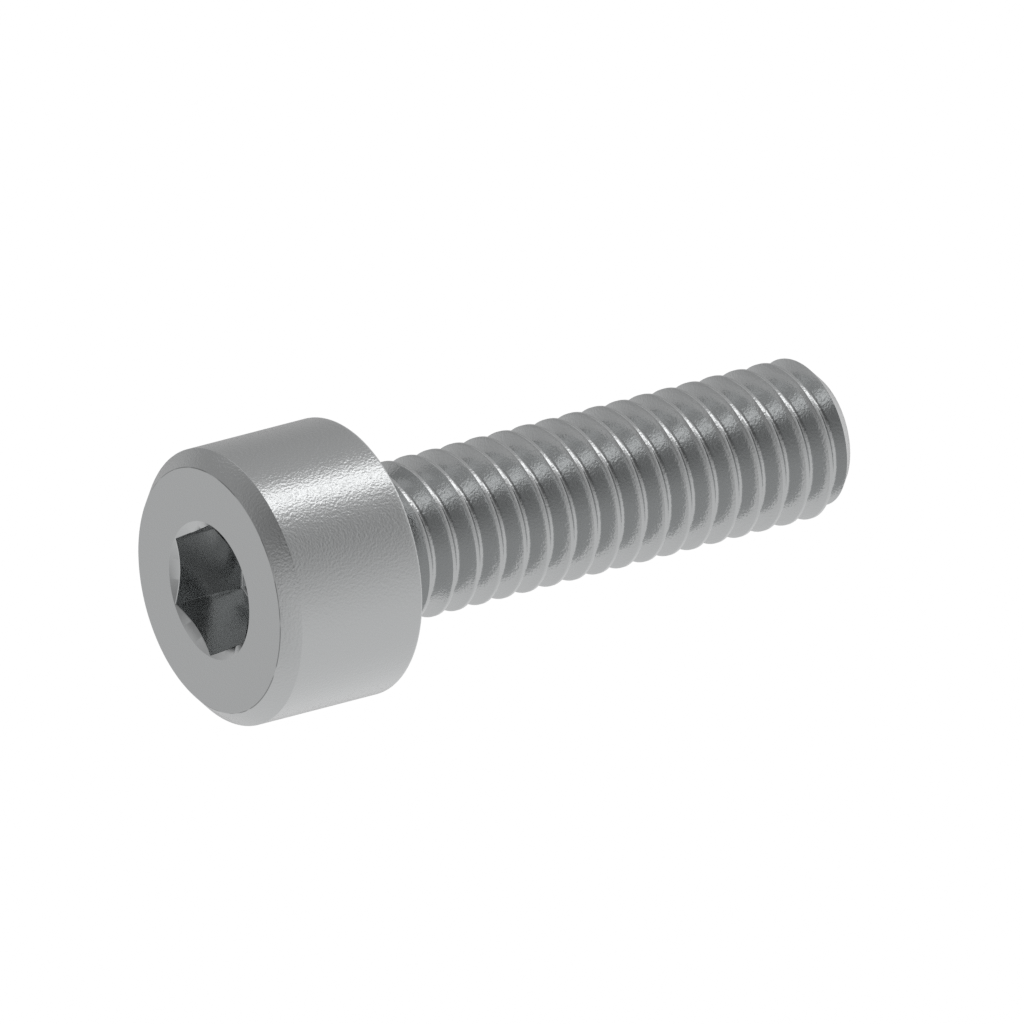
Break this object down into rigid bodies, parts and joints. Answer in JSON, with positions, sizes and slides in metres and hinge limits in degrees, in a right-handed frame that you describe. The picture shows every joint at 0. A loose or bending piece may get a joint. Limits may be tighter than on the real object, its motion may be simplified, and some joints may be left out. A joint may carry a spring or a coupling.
{
  "type": "socket head bolt",
  "caption": "Cylindrical head bolt with a hexagon socket and a fully threaded shank, for clamping parts together with a hex key.",
  "frame": {"origin": "centre of the bearing face under the head, on the axis", "axes": "+Z along the axis from the head to the tip, +X through a corner of the hexagon socket; it stands on its head"},
  "size_m": [0.007, 0.007, 0.018],
  "materials": {
    "steel": "satin grey with a fine blasted grain"
  },
  "bodies": {
    "root": {"bolt": "steel"}
  },
  "joints": []
}
